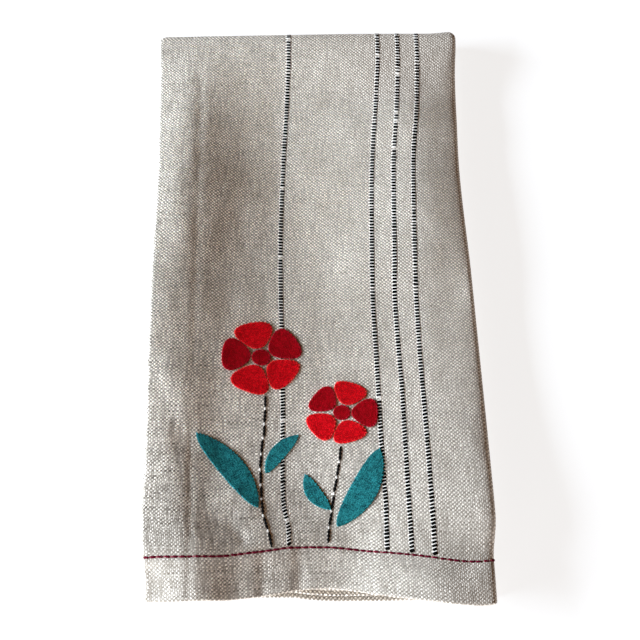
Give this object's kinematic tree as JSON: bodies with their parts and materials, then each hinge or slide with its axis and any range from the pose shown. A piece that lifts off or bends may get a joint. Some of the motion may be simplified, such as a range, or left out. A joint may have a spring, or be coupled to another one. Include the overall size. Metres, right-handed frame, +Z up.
{
  "type": "folded tea towel",
  "caption": "Linen tea towel folded in thirds and then in half, lying flat, with ladder stripes and cut-cloth flowers sewn above the hem.",
  "frame": {"origin": "middle of the folded towel's underside, on the surface it rests on", "axes": "+Z up through the layers, +Y along the folded length from the front hem to the top fold, +X across the face towards the three close stripes"},
  "size_m": [0.1709, 0.3554, 0.0194],
  "materials": {
    "linen": "coarse plain weave, natural flax",
    "red_cloth": "matt cut cloth",
    "crimson_cloth": "matt cut cloth",
    "teal_cloth": "matt cut cloth"
  },
  "bodies": {
    "root": {"towel": "linen", "petal_upper_1": "red_cloth", "petal_upper_2": "crimson_cloth", "petal_upper_3": "red_cloth", "petal_upper_4": "red_cloth", "petal_upper_5": "crimson_cloth", "heart_upper": "crimson_cloth", "petal_lower_1": "red_cloth", "petal_lower_2": "crimson_cloth", "petal_lower_3": "red_cloth", "petal_lower_4": "red_cloth", "petal_lower_5": "crimson_cloth", "heart_lower": "crimson_cloth", "leaf_left_large": "teal_cloth", "leaf_left_small": "teal_cloth", "leaf_right_large": "teal_cloth", "leaf_right_small": "teal_cloth"}
  },
  "joints": []
}
